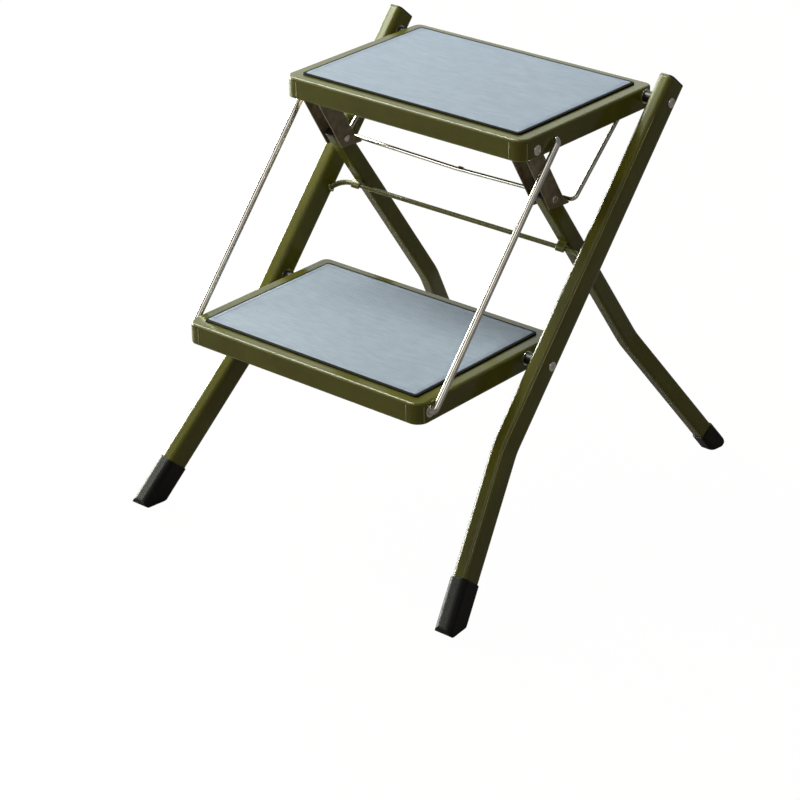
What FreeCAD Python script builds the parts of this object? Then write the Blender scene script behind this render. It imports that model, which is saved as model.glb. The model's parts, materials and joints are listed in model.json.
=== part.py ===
import FreeCAD, Part
import math
import os

import Sketcher
from FreeCAD import Placement, Rotation, Vector

doc = FreeCAD.newDocument("FoldingStepStool")

# Driving sizes, in millimetres and degrees
driving = {
    # Stance
    "topStepHeight": 507.0,       # top mat surface above the floor
    "legTilt": 40.75,             # front legs, from the vertical
    "hingeSpacing": 334.7,        # top hinge to lower hinge, along the front leg
    "hingeDrop": 13.3,            # hinge axis below the mat surface
    "topHingeInset": 16.0,        # top hinge ahead of the pan's rear edge
    "lowerHingeInset": 54.5,      # lower hinge ahead of the pan's rear edge
    # Step pans
    "panWidth": 358.0,
    "panDepth": 243.0,
    "panHeight": 25.5,
    "panSheet": 1.2,
    "panCorner": 14.0,            # front corner radius seen from above
    "panRearCorner": 10.0,
    "panEdge": 3.0,               # rounding of the top edge
    "matThickness": 2.5,
    "matSideMargin": 16.0,        # pan's side to mat edge
    "matEndMargin": 13.5,         # pan's front and rear edges to mat edge
    "matCorner": 4.5,
    "matEdge": 1.0,
    "ribWidth": 30.0,             # stiffener under a pan
    "ribHeight": 8.0,
    "ribSheet": 1.5,
    "ribEndGap": 35.0,            # stiffener end to the pan's side
    # Front legs
    "legWidth": 20.0,             # across the stool
    "legDepth": 32.0,             # front to back
    "legWall": 1.5,
    "legRound": 6.0,
    "legGap": 16.0,               # pan's side to the leg's inner face
    "legOffset": 3.0,             # leg axis ahead of the hinge line
    "legTopReach": 24.5,          # leg above the top hinge
    "kneeDrop": 441.0,            # top hinge to knee, along the leg
    "kneeRadius": 90.0,
    "legSplay": 9.0,
    "legEndGap": 20.0,            # tube end to the floor, along the leg
    "plugCap": 2.0,
    "plugDepth": 14.0,
    "rearPlugDepth": 7.0,
    "plugFit": 0.1,
    # Feet
    "frontFootLength": 58.0,
    "frontFootWall": 1.8,
    "frontToeRadius": 7.0,        # rounding of the sole's front edge
    "rearFootLength": 32.0,
    "rearFootWall": 1.6,
    "rearHeelRadius": 8.0,        # rounding of the sole's rear edge
    "footFit": 0.1,
    "floorBlock": 80.0,           # depth of the block that trims the soles
    # Hinges
    "hingePinRadius": 4.0,
    "hingeHeadRadius": 6.0,
    "hingeInnerRadius": 5.0,
    "hingeHeadHeight": 2.2,
    "hingeInnerHead": 2.0,
    "dimpleRadius": 2.4,          # hollow in the outer head
    "dimpleDepth": 1.2,
    "sleeveRadius": 7.0,
    "washerRadius": 8.5,
    "washerThickness": 1.2,
    "runningFit": 0.1,            # radial clearance of a turning pin
    "pressFit": 0.05,             # radial clearance of a fixed pin
    # Rear legs
    "rearTilt": 34.7,             # rear legs, from the vertical
    "rearWidth": 17.0,
    "rearDepth": 22.0,
    "rearWall": 1.5,
    "rearRound": 3.5,
    "rearTopReach": 12.0,         # rear leg above the bracket rivet
    "rearPivotDrop": 78.5,        # bracket rivet to tie bar, along the rear leg
    "rearKneeDrop": 285.0,        # bracket rivet to the rear knee
    "rearKneeRadius": 90.0,
    "rearSplay": 12.5,
    "rearEndGap": 12.0,
    "crossPinRadius": 3.5,
    "crossPinGap": 0.4,           # cross pin to the rivets in the bracket
    # Tie bar and its saddles
    "barRadius": 4.4,
    "saddleGap": 0.3,
    "saddleSheet": 1.7,
    "saddleWidth": 12.0,
    "saddleLip": 1.5,             # hook end above the middle of the bar
    "barEndRun": 28.0,            # leg's inner face to the start of the bend
    "barBendRadius": 38.0,
    "barTurn": 50.0,
    # Lock brackets
    "bracketReach": 86.46,        # rivet in the step to rivet at the rear leg
    "bracketTilt": 30.36,         # from the vertical
    "bracketInset": 25.7,         # rivet behind the pan's front edge
    "bracketDrop": 19.5,          # rivet below the mat surface
    "bracketWidth": 25.0,
    "bracketGap": 7.8,            # bracket to the inside of the pan's skirt
    "bracketSheet": 1.5,
    "bracketFront": 12.5,         # rivet line to the open edge
    "bracketBack": 12.9,          # rivet line to the outside of the web
    "bracketEndFront": 91.0,      # open edge's lower end along the bracket
    "webStart": 3.0,              # upper web along the bracket
    "webEnd": 42.0,
    "tailStart": 96.0,            # fingers along the bracket
    "tailEnd": 110.0,
    "tailFlare": 5.0,
    "tailTip": 2.0,
    "bracketPinRadius": 3.0,
    "bracketHeadRadius": 4.4,
    "bracketHeadHeight": 1.3,
    "bracketPinInside": 0.4,
    "rivetHeadRadius": 6.2,       # rivet head outside the step's skirt
    "rivetDimpleRadius": 3.4,
    "rivetDimpleDepth": 0.8,
    # Link rods
    "rodRadius": 4.0,
    "rodGap": 1.8,                # rod to the outside of the pan's skirt
    "rodBend": 5.2,
    "rodInset": 57.0,             # upper rod end behind the pan's front edge
    "rodDrop": 15.5,              # upper rod end below the mat surface
    "rodTail": 1.2,               # rod end inside the skirt
    "rodWasherRadius": 7.2,
    "rodWasherThickness": 0.5,
    # Lock wire
    "wireRadius": 2.4,
    "wireGap": 2.2,               # side arm to the inside of the pan's skirt
    "wireTilt": 47.0,             # side arms, from the vertical
    "wireArm": 143.6,             # hinge to cross run
    "wireInset": 36.0,            # hinge ahead of the pan's rear edge
    "wireDip": 1.2,               # slope of each half of the cross run
    "wireBend": 7.0,
    "wireMidBend": 20.0,
    "wireTail": 22.0,             # turned-in end
    "wirePlateGap": 0.3,
    "clipSheet": 1.2,
    "clipWidth": 10.0,
    "clipFoot": 7.0,
}


class Size:
    """A length or angle that carries its value and the sheet expression behind it."""

    def __init__(self, value, text):
        self.value = value
        self.text = text

    def join(self, other, sign, value):
        other = asSize(other)
        return Size(value(self.value, other.value), f"({self.text} {sign} {other.text})")

    def __add__(self, other):
        return self.join(other, "+", lambda a, b: a + b)

    def __sub__(self, other):
        return self.join(other, "-", lambda a, b: a - b)

    def __mul__(self, other):
        return self.join(other, "*", lambda a, b: a * b)

    def __truediv__(self, other):
        return self.join(other, "/", lambda a, b: a / b)

    def __radd__(self, other):
        return asSize(other) + self

    def __rsub__(self, other):
        return asSize(other) - self

    def __rmul__(self, other):
        return asSize(other) * self

    def __neg__(self):
        return Size(-self.value, f"(0 - {self.text})")


def asSize(number):
    if isinstance(number, Size):
        return number
    return Size(float(number), repr(float(number)))


def sine(angle):
    angle = asSize(angle)
    return Size(math.sin(math.radians(angle.value)), f"sin({angle.text})")


def cosine(angle):
    angle = asSize(angle)
    return Size(math.cos(math.radians(angle.value)), f"cos({angle.text})")


def tangent(angle):
    angle = asSize(angle)
    return Size(math.tan(math.radians(angle.value)), f"tan({angle.text})")


class Sheet:
    """The spreadsheet of driving sizes, read as attributes."""

    def __init__(self, table):
        cells = doc.addObject("Spreadsheet::Sheet", "sizes")
        for row, (alias, value) in enumerate(table.items(), start=1):
            cells.set(f"A{row}", alias)
            cells.set(f"B{row}", str(value))
            cells.setAlias(f"B{row}", alias)
            setattr(self, alias, Size(value, f"sizes.{alias}"))


s = Sheet(driving)
doc.recompute()


# Points of the side view, as (y, z) pairs of sizes
def step(point, forward, down):
    """A point moved ahead (towards the front, -Y) and down."""
    return (point[0] - forward, point[1] - down)


def along(point, angle, distance, offset=0):
    """A point moved down a line that leans forward by angle from the vertical, then behind it by offset."""
    forward = sine(angle) * distance - cosine(angle) * offset
    down = cosine(angle) * distance + sine(angle) * offset
    return step(point, forward, down)


def footReach(angle, halfDepth):
    """Half of a sole that is cut level through a leaning foot of that half depth."""
    return halfDepth / cosine(angle)


def tipReach(angle, radius):
    """Distance from the centre of a sole's rounded tip to the sharp tip, along the floor."""
    return radius * cosine(angle) / (1 - sine(angle))


# The hinge height and the spread of the feet place everything else
hingeHeight = s.topStepHeight - s.hingeDrop
legDropToFloor = (hingeHeight + sine(s.legTilt) * s.legOffset) / cosine(s.legTilt)
frontFootAhead = (
    sine(s.legTilt) * legDropToFloor
    + cosine(s.legTilt) * s.legOffset
    + footReach(s.legTilt, s.legDepth / 2 + s.frontFootWall)
    + s.frontToeRadius
    - tipReach(s.legTilt, s.frontToeRadius)
)
topPanFrontAhead = s.panDepth - s.topHingeInset
bracketPivotAhead = topPanFrontAhead - s.bracketInset
bracketPivotHeight = s.topStepHeight - s.bracketDrop
elbowAhead = bracketPivotAhead - sine(s.bracketTilt) * s.bracketReach
elbowHeight = bracketPivotHeight - cosine(s.bracketTilt) * s.bracketReach
rearDropToFloor = elbowHeight / cosine(s.rearTilt)
rearFootAhead = (
    elbowAhead
    - sine(s.rearTilt) * rearDropToFloor
    - footReach(s.rearTilt, s.rearDepth / 2 + s.rearFootWall)
    - s.rearHeelRadius
    + tipReach(s.rearTilt, s.rearHeelRadius)
)

topHinge = ((frontFootAhead + rearFootAhead) / 2, hingeHeight)
lowerHinge = along(topHinge, s.legTilt, s.hingeSpacing)
topPanFront = (topHinge[0] - topPanFrontAhead, s.topStepHeight + 0)
lowerPanFront = (
    lowerHinge[0] + s.lowerHingeInset - s.panDepth,
    lowerHinge[1] + s.hingeDrop,
)
bracketPivot = (topPanFront[0] + s.bracketInset, topPanFront[1] - s.bracketDrop)
elbow = along(bracketPivot, -s.bracketTilt, s.bracketReach)
barSeat = s.rearDepth / 2 + s.saddleGap + s.barRadius
barCentre = along(elbow, -s.rearTilt, s.rearPivotDrop, -barSeat)
rodTop = (topPanFront[0] + s.rodInset, topPanFront[1] - s.rodDrop)
plateUnderside = s.matThickness + s.panSheet
wireHingeDrop = plateUnderside + s.wirePlateGap + s.wireRadius
wireHinge = (topPanFront[0] + s.panDepth - s.wireInset, topPanFront[1] - wireHingeDrop)
skirtOuter = s.panWidth / 2
skirtInner = skirtOuter - s.panSheet
legInner = skirtOuter + s.legGap
legCentre = legInner + s.legWidth / 2
legOuter = legInner + s.legWidth
rearCentre = skirtInner - s.bracketGap - s.bracketWidth / 2
rodCentre = skirtOuter + s.rodGap + s.rodRadius
wireCentre = skirtInner - s.wireGap - s.wireRadius
barStraightHalf = legInner - s.barEndRun


# Building blocks
def bind(thing, name, size):
    thing.setExpression(name, asSize(size).text)


def newBody(label):
    body = doc.addObject("PartDesign::Body", label)
    body.Label = label
    return body


def newSketch(body, role, name):
    sketch = body.newObject("Sketcher::SketchObject", f"{body.Name}_{name}")
    planes = [plane for plane in body.Origin.OriginFeatures if plane.Role == role]
    sketch.AttachmentSupport = [(planes[0], "")]
    sketch.MapMode = "FlatFace"
    return sketch


def constrain(sketch, name, size, kind, *where):
    size = asSize(size)
    value = math.radians(size.value) if kind == "Angle" else size.value
    index = sketch.addConstraint(Sketcher.Constraint(kind, *where, value))
    sketch.renameConstraint(index, name)
    unit = " * 1 deg" if kind == "Angle" else ""
    sketch.setExpression(f"Constraints.{name}", size.text + unit)


def fix(sketch, kind, *where):
    sketch.addConstraint(Sketcher.Constraint(kind, *where))


def placePoint(sketch, name, geometry, spot, x, y):
    """Hold one point of a sketch at (x, y) from its origin."""
    for axis, kind, size in (("X", "DistanceX", asSize(x)), ("Y", "DistanceY", asSize(y))):
        if abs(size.value) < 1e-9:
            fix(sketch, "PointOnObject", geometry, spot, -2 if axis == "X" else -1)
        elif size.value > 0:
            constrain(sketch, name + axis, size, kind, -1, 1, geometry, spot)
        else:
            constrain(sketch, name + axis, -size, kind, geometry, spot, -1, 1)


def addCircle(sketch, name, radius, x=0, y=0):
    x = asSize(x)
    y = asSize(y)
    centre = Vector(x.value, y.value, 0)
    index = sketch.addGeometry(Part.Circle(centre, Vector(0, 0, 1), radius.value))
    constrain(sketch, name + "Radius", radius, "Radius", index)
    if abs(x.value) + abs(y.value) < 1e-9:
        fix(sketch, "Coincident", index, 3, -1, 1)
    else:
        placePoint(sketch, name, index, 3, x, y)


def addPolygon(sketch, name, corners):
    """A closed outline whose corners are held at their sizes."""
    points = [Vector(asSize(x).value, asSize(y).value, 0) for x, y in corners]
    first = sketch.GeometryCount
    count = len(points)
    for i in range(count):
        sketch.addGeometry(Part.LineSegment(points[i], points[(i + 1) % count]))
    for i in range(count):
        fix(sketch, "Coincident", first + i, 2, first + (i + 1) % count, 1)
    for i, (x, y) in enumerate(corners):
        placePoint(sketch, f"{name}{i}", first + i, 1, x, y)


def addRoundRect(sketch, name, width, height, radius, rearRadius=None):
    """A rectangle with round corners, centred on the sketch's origin. The rear corners may differ."""
    w = width.value / 2
    h = height.value / 2
    near = radius.value
    far = rearRadius.value if rearRadius else near
    first = sketch.GeometryCount
    normal = Vector(0, 0, 1)
    corners = [
        (w - near, near - h, near), (w - far, h - far, far),
        (far - w, h - far, far), (near - w, near - h, near),
    ]
    for quarter, (x, y, r) in enumerate(corners):
        circle = Part.Circle(Vector(x, y, 0), normal, r)
        start = (quarter - 1) * math.pi / 2
        sketch.addGeometry(Part.ArcOfCircle(circle, start, start + math.pi / 2))
    sides = [
        (Vector(w, near - h, 0), Vector(w, h - far, 0)),
        (Vector(w - far, h, 0), Vector(far - w, h, 0)),
        (Vector(-w, h - far, 0), Vector(-w, near - h, 0)),
        (Vector(near - w, -h, 0), Vector(w - near, -h, 0)),
    ]
    for start, end in sides:
        sketch.addGeometry(Part.LineSegment(start, end))
    for i in range(4):
        fix(sketch, "Tangent", first + i, 2, first + 4 + i, 1)
        fix(sketch, "Tangent", first + 4 + i, 2, first + (i + 1) % 4, 1)
        fix(sketch, "Horizontal" if i % 2 else "Vertical", first + 4 + i)
    fix(sketch, "Equal", first, first + 3)
    fix(sketch, "Equal", first + 1, first + 2)
    constrain(sketch, name + "Radius", radius, "Radius", first)
    if rearRadius:
        constrain(sketch, name + "RearRadius", rearRadius, "Radius", first + 1)
    else:
        fix(sketch, "Equal", first, first + 1)
    constrain(sketch, name + "Right", width / 2, "DistanceX", -1, 1, first + 4, 1)
    constrain(sketch, name + "Left", width / 2, "DistanceX", first + 6, 1, -1, 1)
    constrain(sketch, name + "Rear", height / 2, "DistanceY", -1, 1, first + 5, 1)
    constrain(sketch, name + "Front", height / 2, "DistanceY", first + 7, 1, -1, 1)


def addPath(sketch, runs):
    """Lines joined by arcs, each run given as corner to corner length, heading and bend radius."""
    turns = []
    for (_, here, radius), (_, there, _) in zip(runs, runs[1:]):
        turns.append((asSize(there) - here, radius))
    spot = Vector(0, 0, 0)
    previous = None
    for i, (length, heading, _) in enumerate(runs):
        heading = asSize(heading)
        length = asSize(length)
        for j in (i - 1, i):
            if 0 <= j < len(turns):
                turn, radius = turns[j]
                half = turn / 2 if turn.value > 0 else -turn / 2
                length = length - tangent(half) * radius
        angle = math.radians(heading.value)
        ahead = Vector(math.cos(angle), math.sin(angle), 0)
        end = spot + ahead * length.value
        line = sketch.addGeometry(Part.LineSegment(spot, end))
        if previous is None:
            fix(sketch, "Coincident", line, 1, -1, 1)
        else:
            fix(sketch, "Tangent", previous, previous_end, line, 1)
        constrain(sketch, f"run{i}", length, "Distance", line)
        if heading.value % 180 == 0:
            fix(sketch, "Horizontal", line)
        elif heading.value % 90 == 0:
            fix(sketch, "Vertical", line)
        else:
            constrain(sketch, f"heading{i}", heading, "Angle", line)
        previous = line
        previous_end = 2
        spot = end
        if i < len(turns):
            turn, radius = turns[i]
            radius = asSize(radius)
            left = 1 if turn.value > 0 else -1
            side = Vector(-ahead.y, ahead.x, 0) * left
            centre = spot + side * radius.value
            circle = Part.Circle(centre, Vector(0, 0, 1), radius.value)
            sweep = math.radians(abs(turn.value))
            begin = math.atan2(-side.y, -side.x)
            if left > 0:
                arc = Part.ArcOfCircle(circle, begin, begin + sweep)
                starts, ends = 1, 2
                spot = centre - Vector(
                    side.x * math.cos(sweep) - side.y * math.sin(sweep),
                    side.x * math.sin(sweep) + side.y * math.cos(sweep),
                    0,
                ) * radius.value
            else:
                arc = Part.ArcOfCircle(circle, begin - sweep, begin)
                starts, ends = 2, 1
                spot = centre - Vector(
                    side.x * math.cos(-sweep) - side.y * math.sin(-sweep),
                    side.x * math.sin(-sweep) + side.y * math.cos(-sweep),
                    0,
                ) * radius.value
            index = sketch.addGeometry(arc)
            fix(sketch, "Tangent", line, 2, index, starts)
            constrain(sketch, f"bend{i}", radius, "Radius", index)
            previous = index
            previous_end = ends
    return 2 * len(runs) - 1


def pad(body, sketch, length, symmetric=False, reverse=False):
    feature = body.newObject("PartDesign::Pad", f"{sketch.Name}_pad")
    feature.Profile = sketch
    bind(feature, "Length", length)
    if symmetric:
        feature.SideType = "Symmetric"
    feature.Reversed = reverse
    sketch.Visibility = False
    return feature


def pocket(body, sketch, length, symmetric=False, reverse=False):
    """A cut that must take material away."""
    doc.recompute()
    before = body.Shape.Volume
    feature = body.newObject("PartDesign::Pocket", f"{sketch.Name}_pocket")
    feature.Profile = sketch
    bind(feature, "Length", length)
    if symmetric:
        feature.SideType = "Symmetric"
    feature.Reversed = reverse
    doc.recompute()
    if not body.Shape.Volume < before:
        raise RuntimeError(f"{sketch.Name} cuts nothing")
    return feature


def pipe(body, profile, spine, edges):
    feature = body.newObject("PartDesign::AdditivePipe", f"{profile.Name}_pipe")
    feature.Profile = profile
    feature.Spine = (spine, [f"Edge{i + 1}" for i in range(edges)])
    return feature


def roundEdges(body, radius, wanted):
    """Fillet the edges of the body's last shape that wanted picks."""
    doc.recompute()
    base = body.Tip
    names = [f"Edge{i + 1}" for i, edge in enumerate(base.Shape.Edges) if wanted(edge)]
    if not names:
        raise RuntimeError(f"{body.Label} has no such edge")
    feature = body.newObject("PartDesign::Fillet", f"{base.Name}_fillet")
    feature.Base = (base, names)
    bind(feature, "Radius", radius)
    return feature


def place(thing, point, x=0, lean=0, splay=0, side=1, downwards=False, sideways=False):
    """Put a sub-part at (x, point). downwards turns its Z down a line that leans forward by lean."""
    turn = Rotation()
    if downwards:
        turn = Rotation(Vector(1, 0, 0), 180 - asSize(lean).value)
        turn = turn.multiply(Rotation(Vector(0, 1, 0), side * asSize(splay).value))
    if sideways:
        turn = Rotation(Vector(0, 1, 0), 90 * side)
    base = Vector(asSize(x).value, asSize(point[0]).value, asSize(point[1]).value)
    thing.Placement = Placement(base, turn)


finished = []


def finish(thing):
    finished.append(thing)


def sideName(side):
    return "right" if side > 0 else "left"


# Step pans, mats and stiffeners
def stepPan(label, front, holes):
    """A pressed pan, with its origin on the mid plane at the middle of the mat surface. holes lists
    (distance behind the front edge, drop below the mat, radius) through both side skirts."""
    body = newBody(label)
    outline = newSketch(body, "XY_Plane", "outline")
    addRoundRect(outline, "pan", s.panWidth, s.panDepth, s.panCorner, s.panRearCorner)
    outline.setExpression("AttachmentOffset.Base.z", (-s.matThickness).text)
    pad(body, outline, s.panHeight, reverse=True)
    top = -s.matThickness.value
    roundEdges(body, s.panEdge, lambda edge: all(abs(v.Z - top) < 1e-6 for v in edge.Vertexes))
    hollow = newSketch(body, "XY_Plane", "hollow")
    wall = s.panSheet
    hollowWidth = s.panWidth - wall * 2
    hollowDepth = s.panDepth - wall * 2
    addRoundRect(
        hollow, "hollow", hollowWidth, hollowDepth, s.panCorner - wall, s.panRearCorner - wall
    )
    hollow.setExpression("AttachmentOffset.Base.z", (-plateUnderside).text)
    pocket(body, hollow, s.panHeight)
    ceiling = -plateUnderside.value
    inner = s.panWidth.value / 2 - wall.value + 0.01
    bend = s.panEdge - wall
    roundEdges(
        body,
        bend,
        lambda edge: all(abs(v.Z - ceiling) < 1e-6 and abs(v.X) < inner for v in edge.Vertexes),
    )
    drill = newSketch(body, "YZ_Plane", "holes")
    for i, (inset, drop, radius) in enumerate(holes):
        addCircle(drill, f"hole{i}", radius, inset - s.panDepth / 2, -drop)
    pocket(body, drill, s.panWidth * 2, symmetric=True)
    place(body, (front[0] + s.panDepth / 2, front[1]))
    finish(body)


def stepMat(label, front):
    body = newBody(label)
    outline = newSketch(body, "XY_Plane", "outline")
    width = s.panWidth - s.matSideMargin * 2
    depth = s.panDepth - s.matEndMargin * 2
    addRoundRect(outline, "mat", width, depth, s.matCorner)
    pad(body, outline, s.matThickness, reverse=True)
    roundEdges(body, s.matEdge, lambda edge: all(abs(v.Z) < 1e-6 for v in edge.Vertexes))
    place(body, (front[0] + s.panDepth / 2, front[1]))
    finish(body)


def stepRib(label, front):
    """A hat-shaped rib across the pan's underside."""
    body = newBody(label)
    profile = newSketch(body, "YZ_Plane", "profile")
    top = -plateUnderside
    bottom = top - s.ribHeight
    half = s.ribWidth / 2
    web = s.ribWidth / 4
    sheet = s.ribSheet
    corners = [
        (-half, top), (-half, top - sheet), (-web - sheet, top - sheet), (-web - sheet, bottom),
        (web + sheet, bottom), (web + sheet, top - sheet), (half, top - sheet), (half, top),
        (web, top), (web, bottom + sheet), (-web, bottom + sheet), (-web, top),
    ]
    addPolygon(profile, "hat", corners)
    pad(body, profile, s.panWidth - s.ribEndGap * 2, symmetric=True)
    place(body, (front[0] + s.panDepth / 2, front[1]))
    finish(body)


# Tubes
def bentTube(label, width, depth, corner, wall, runs):
    """A hollow tube that starts at its origin and runs along Z, then bends in the XZ plane."""
    body = newBody(label)
    profile = newSketch(body, "XY_Plane", "profile")
    addRoundRect(profile, "outer", width, depth, corner)
    addRoundRect(profile, "inner", width - wall * 2, depth - wall * 2, corner - wall)
    spine = newSketch(body, "XZ_Plane", "spine")
    edges = addPath(spine, runs)
    pipe(body, profile, spine, edges)
    return body


def plug(label, width, depth, corner, wall, stubDepth):
    """A cap on the tube's end with a stub inside it. Its Z points into the tube."""
    body = newBody(label)
    cap = newSketch(body, "XY_Plane", "cap")
    addRoundRect(cap, "cap", width, depth, corner)
    pad(body, cap, s.plugCap, reverse=True)
    shank = newSketch(body, "XY_Plane", "stub")
    gap = (wall + s.plugFit) * 2
    addRoundRect(shank, "stub", width - gap, depth - gap, corner - wall)
    pad(body, shank, stubDepth)
    roundEdges(body, s.plugCap / 2, lambda edge: all(v.Z < -1.9 for v in edge.Vertexes))
    return body


def tipCutter(label, lean, radius, halfDepth, point, x):
    """The block that rounds the sole's tip on the side the foot leans to."""
    body = newBody(label)
    ahead = 1 if asSize(lean).value > 0 else -1
    tilt = lean * ahead
    outside = radius * 1.5
    wedge = newSketch(body, "YZ_Plane", "wedge")
    addPolygon(wedge, "wedge", [
        (0, 0),
        (0, -outside),
        (tipReach(tilt, outside) * -ahead, -outside),
        (cosine(tilt) * outside * -ahead, sine(tilt) * outside),
    ])
    pad(body, wedge, s.floorBlock * 2, symmetric=True)
    arc = newSketch(body, "YZ_Plane", "arc")
    addCircle(arc, "arc", radius)
    pocket(body, arc, s.floorBlock * 3, symmetric=True)
    centre = point[0] - (footReach(tilt, halfDepth) - tipReach(tilt, radius)) * ahead
    place(body, (centre, radius), x)
    return body


def foot(label, width, depth, corner, wall, length, endGap, point, x, lean, splay, side, tipRadius):
    """A rubber cap over the tube's end, with a level sole and a rounded tip."""
    body = newBody(label)
    outer = newSketch(body, "XY_Plane", "outer")
    addRoundRect(outer, "outer", width + wall * 2, depth + wall * 2, corner + wall)
    outer.setExpression("AttachmentOffset.Base.z", (-length).text)
    pad(body, outer, length + s.legDepth)
    roundEdges(
        body, wall * 0.6, lambda edge: all(v.Z < 1 - length.value for v in edge.Vertexes)
    )
    bore = newSketch(body, "XY_Plane", "bore")
    fit = s.footFit * 2
    addRoundRect(bore, "bore", width + fit, depth + fit, corner + s.footFit)
    bore.setExpression("AttachmentOffset.Base.z", (-endGap).text)
    pocket(body, bore, length)
    place(body, point, x, lean, splay, side, downwards=True)
    floor = doc.addObject("Part::Box", f"{label}_floor")
    bind(floor, "Length", s.floorBlock * 2)
    bind(floor, "Width", s.floorBlock * 2)
    bind(floor, "Height", s.floorBlock)
    middle = Vector(asSize(x).value, asSize(point[0]).value, 0)
    reach = s.floorBlock.value
    floor.Placement = Placement(middle - Vector(reach, reach, reach), Rotation())
    trimmed = doc.addObject("Part::Cut", f"{label}_trimmed")
    trimmed.Base = body
    trimmed.Tool = floor
    body.Label = f"{label}_blank"
    rounded = doc.addObject("Part::Cut", f"{label}_rounded")
    rounded.Base = trimmed
    rounded.Tool = tipCutter(f"{label}_tip", lean, tipRadius, depth / 2 + wall, point, x)
    rounded.Label = label
    finish(rounded)


def frontLeg(side):
    name = sideName(side)
    straight = s.legTopReach + s.kneeDrop
    lower = (legDropToFloor - s.kneeDrop) / cosine(s.legSplay)
    tubeEnd = lower - s.legEndGap
    heading = 90 - side * s.legSplay
    body = bentTube(
        f"front_leg_{name}", s.legWidth, s.legDepth, s.legRound, s.legWall,
        [(straight, 90, s.kneeRadius), (tubeEnd, heading, 0)],
    )
    holes = newSketch(body, "YZ_Plane", "holes")
    radius = s.hingePinRadius + s.pressFit
    for i, drop in enumerate((s.legTopReach, s.legTopReach + s.hingeSpacing)):
        addCircle(holes, f"pin{i}", radius, -s.legOffset, drop)
    pocket(body, holes, s.legWidth * 2, symmetric=True)
    top = along(topHinge, s.legTilt, -s.legTopReach, -s.legOffset)
    place(body, top, legCentre * side, s.legTilt, downwards=True)
    finish(body)

    plugLabel = f"front_leg_plug_{name}"
    cap = plug(plugLabel, s.legWidth, s.legDepth, s.legRound, s.legWall, s.plugDepth)
    place(cap, top, legCentre * side, s.legTilt, downwards=True)
    finish(cap)

    sole = along(topHinge, s.legTilt, legDropToFloor, -s.legOffset)
    spread = legCentre + tangent(s.legSplay) * (legDropToFloor - s.kneeDrop)
    foot(
        f"front_foot_{name}", s.legWidth, s.legDepth, s.legRound, s.frontFootWall,
        s.frontFootLength, s.legEndGap, sole, spread * side, s.legTilt, s.legSplay, side,
        s.frontToeRadius,
    )


def rearLeg(side):
    name = sideName(side)
    straight = s.rearTopReach + s.rearKneeDrop
    lower = (rearDropToFloor - s.rearKneeDrop) / cosine(s.rearSplay)
    heading = 90 - side * s.rearSplay
    body = bentTube(
        f"rear_leg_{name}", s.rearWidth, s.rearDepth, s.rearRound, s.rearWall,
        [(straight, 90, s.rearKneeRadius), (lower - s.rearEndGap, heading, 0)],
    )
    hole = newSketch(body, "YZ_Plane", "hole")
    addCircle(hole, "pin", s.crossPinRadius + s.pressFit, 0, s.rearTopReach)
    pocket(body, hole, s.rearWidth * 2, symmetric=True)
    top = along(elbow, -s.rearTilt, -s.rearTopReach)
    x = rearCentre * side
    place(body, top, x, -s.rearTilt, downwards=True)
    finish(body)

    plugLabel = f"rear_leg_plug_{name}"
    cap = plug(plugLabel, s.rearWidth, s.rearDepth, s.rearRound, s.rearWall, s.rearPlugDepth)
    place(cap, top, x, -s.rearTilt, downwards=True)
    finish(cap)

    pin = newBody(f"rear_leg_pin_{name}")
    circle = newSketch(pin, "YZ_Plane", "circle")
    addCircle(circle, "pin", s.crossPinRadius)
    rivetRoom = (s.bracketSheet + s.bracketPinInside + s.crossPinGap) * 2
    pad(pin, circle, s.bracketWidth - rivetRoom, symmetric=True)
    place(pin, elbow, x)
    finish(pin)

    sole = along(elbow, -s.rearTilt, rearDropToFloor)
    spread = rearCentre + tangent(s.rearSplay) * (rearDropToFloor - s.rearKneeDrop)
    foot(
        f"rear_foot_{name}", s.rearWidth, s.rearDepth, s.rearRound, s.rearFootWall,
        s.rearFootLength, s.rearEndGap, sole, spread * side, -s.rearTilt, s.rearSplay, side,
        s.rearHeelRadius,
    )

    saddle = newBody(f"rear_saddle_{name}")
    strap = newSketch(saddle, "YZ_Plane", "strap")
    outer = s.barRadius + s.saddleGap + s.saddleSheet
    face = -(barSeat - s.rearDepth / 2)
    addPolygon(strap, "strap", [(0, -outer), (0, outer), (face, outer), (face, -outer)])
    pad(saddle, strap, s.saddleWidth, symmetric=True)
    nose = newSketch(saddle, "YZ_Plane", "nose")
    addCircle(nose, "nose", outer)
    pad(saddle, nose, s.saddleWidth, symmetric=True)
    inner = s.barRadius + s.saddleGap
    bore = newSketch(saddle, "YZ_Plane", "bore")
    addCircle(bore, "bore", inner)
    pocket(saddle, bore, s.saddleWidth * 2, symmetric=True)
    slot = newSketch(saddle, "YZ_Plane", "slot")
    beyond = -outer - s.saddleSheet
    addPolygon(slot, "slot", [
        (0, -inner), (0, inner), (face, inner), (face, outer),
        (beyond, outer), (beyond, -outer), (face, -outer), (face, -inner),
    ])
    pocket(saddle, slot, s.saddleWidth * 2, symmetric=True)
    mouth = newSketch(saddle, "YZ_Plane", "mouth")
    addPolygon(mouth, "mouth", [
        (beyond, -s.saddleLip), (outer * 2, -s.saddleLip), (outer * 2, outer * 2), (beyond, outer * 2),
    ])
    pocket(saddle, mouth, s.saddleWidth * 2, symmetric=True)
    place(saddle, barCentre, x, -s.rearTilt, downwards=True)
    finish(saddle)


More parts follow.
